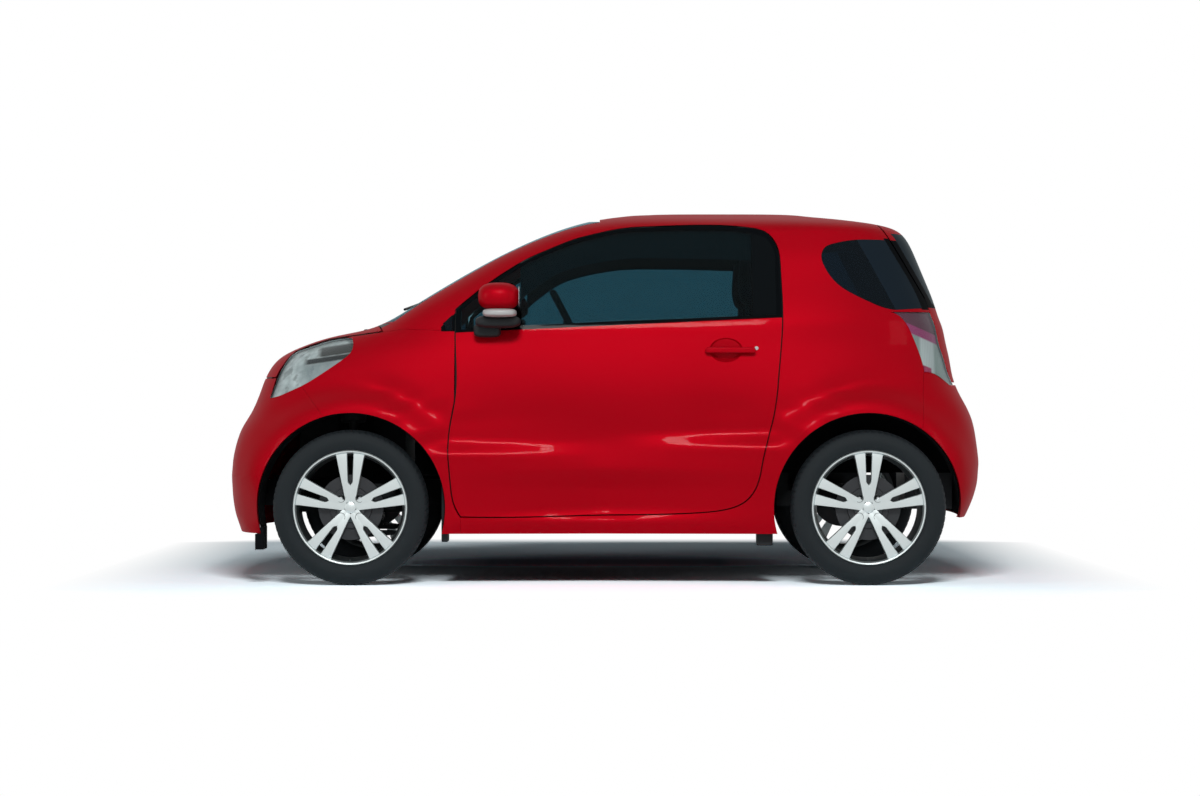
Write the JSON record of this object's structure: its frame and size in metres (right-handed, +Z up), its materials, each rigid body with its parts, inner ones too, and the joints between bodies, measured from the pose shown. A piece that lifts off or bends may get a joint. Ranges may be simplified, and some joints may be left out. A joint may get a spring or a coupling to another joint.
{
  "type": "city car",
  "caption": "Short three-door city car with hinged doors, bonnet and tailgate, steered front wheels and free-rolling road wheels.",
  "frame": {"origin": "on the ground under the middle of the car's length, on its centre plane", "axes": "+X to the rear, +Y to the car's right, +Z up"},
  "size_m": [3.0014, 1.924, 1.463],
  "materials": {
    "tyre": "matte",
    "alloy": "machined",
    "glass": "tinted",
    "lamp_lens": "clear",
    "steel": "painted",
    "seat_cloth": "woven",
    "black_plastic": "grained",
    "red_paint": "deep metallic gloss"
  },
  "bodies": {
    "body": {"arch_liners_left": "black_plastic", "arch_liners_right": "black_plastic", "cowl_panel": "black_plastic", "dashboard": "black_plastic", "engine_block": "steel", "exhaust": "steel", "front_bumper": "red_paint", "front_grille": "black_plastic", "front_suspension": "steel", "headlamp_left": "lamp_lens", "headlamp_right": "lamp_lens", "quarter_glass_left": "glass", "quarter_glass_right": "glass", "rear_axle": "steel", "rear_bench": "seat_cloth", "rear_bumper": "red_paint", "roof_panel": "red_paint", "seat_left": "seat_cloth", "seat_right": "seat_cloth", "side_frame_left": "red_paint", "side_frame_right": "red_paint", "steering_wheel": "black_plastic", "strut_left": "steel", "strut_right": "steel", "tail_lamp_left": "lamp_lens", "tail_lamp_right": "lamp_lens", "underbody": "steel", "windscreen": "glass", "wing_left": "red_paint", "wing_right": "red_paint"},
    "bonnet": {"bonnet": "red_paint"},
    "door_left": {"door_glass_left": "glass", "door_panel_left": "red_paint", "door_trim_left": "black_plastic", "mirror_left": "red_paint"},
    "door_right": {"door_glass_right": "glass", "door_panel_right": "red_paint", "door_trim_right": "black_plastic", "mirror_right": "red_paint"},
    "knuckle_left": {"knuckle_left": "steel"},
    "knuckle_right": {"knuckle_right": "steel"},
    "wheel_front_left": {"rim_front_left": "alloy", "tyre_front_left": "tyre"},
    "wheel_front_right": {"rim_front_right": "alloy", "tyre_front_right": "tyre"},
    "wheel_rear_left": {"rim_rear_left": "alloy", "tyre_rear_left": "tyre"},
    "wheel_rear_right": {"rim_rear_right": "alloy", "tyre_rear_right": "tyre"},
    "tailgate": {"tailgate_glass": "glass", "tailgate_panel": "red_paint"}
  },
  "joints": [
    {"name": "door_left_hinge", "type": "hinge", "parent": "body", "child": "door_left", "pos_m": [-0.612, -0.828, 0.7], "axis": [0, 0, -1], "range_deg": [0, 65]},
    {"name": "door_right_hinge", "type": "hinge", "parent": "body", "child": "door_right", "pos_m": [-0.612, 0.828, 0.7], "axis": [0, 0, 1], "range_deg": [0, 65]},
    {"name": "bonnet_hinge", "type": "hinge", "parent": "body", "child": "bonnet", "pos_m": [-0.868, 0, 1.002], "axis": [0, 1, 0], "range_deg": [0, 50]},
    {"name": "tailgate_hinge", "type": "hinge", "parent": "body", "child": "tailgate", "pos_m": [1.0765, 0, 1.446], "axis": [0, -1, 0], "range_deg": [0, 75]},
    {"name": "steer_left", "type": "hinge", "parent": "body", "child": "knuckle_left", "pos_m": [-0.9835, -0.676, 0.19], "axis": [0, 0.1492, 0.9888], "range_deg": [-33, 33]},
    {"name": "steer_right", "type": "hinge", "parent": "body", "child": "knuckle_right", "pos_m": [-0.9835, 0.676, 0.19], "axis": [0, -0.1492, 0.9888], "range_deg": [-33, 33]},
    {"name": "wheel_spin_front_left", "type": "hinge", "parent": "knuckle_left", "child": "wheel_front_left", "pos_m": [-0.9835, -0.74, 0.3], "axis": [0, 1, 0], "continuous": true},
    {"name": "wheel_spin_front_right", "type": "hinge", "parent": "knuckle_right", "child": "wheel_front_right", "pos_m": [-0.9835, 0.74, 0.3], "axis": [0, 1, 0], "continuous": true},
    {"name": "wheel_spin_rear_left", "type": "hinge", "parent": "body", "child": "wheel_rear_left", "pos_m": [1.0165, -0.74, 0.3], "axis": [0, 1, 0], "continuous": true},
    {"name": "wheel_spin_rear_right", "type": "hinge", "parent": "body", "child": "wheel_rear_right", "pos_m": [1.0165, 0.74, 0.3], "axis": [0, 1, 0], "continuous": true}
  ],
  "couplings": [
    {"joint": "steer_right", "follows": "steer_left", "ratio": 1}
  ]
}
